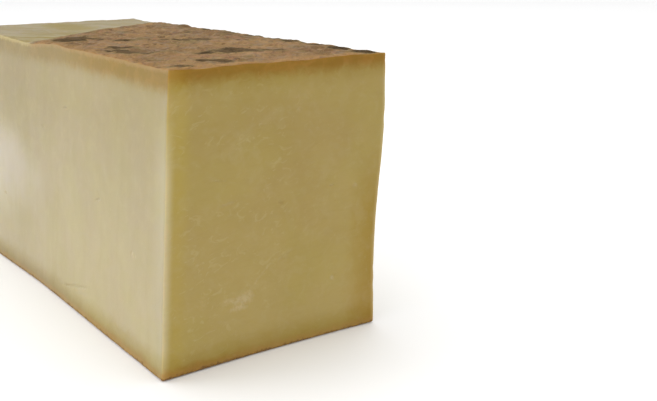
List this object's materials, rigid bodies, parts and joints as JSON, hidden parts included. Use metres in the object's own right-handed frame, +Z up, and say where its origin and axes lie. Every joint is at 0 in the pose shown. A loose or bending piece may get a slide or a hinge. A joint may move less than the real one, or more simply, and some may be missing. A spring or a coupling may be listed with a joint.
{
  "type": "gruyere cheese block",
  "caption": "block of hard cheese cut through the height of a wheel, with rind above and below, cut faces on its sides and a pared corner",
  "frame": {"origin": "middle of the footprint, at the height of the surface that the block rests on", "axes": "+Z up through the wheel's height, X along the block's length, Y across its width; the near end cut is at +X and the long cut face that shows is at -Y"},
  "size_m": [0.242, 0.1037, 0.115],
  "materials": {
    "cheese": "waxy cut cheese on the four sides, dry brown washed rind above and below"
  },
  "bodies": {
    "root": {"gruyere_block": "cheese"}
  },
  "joints": []
}
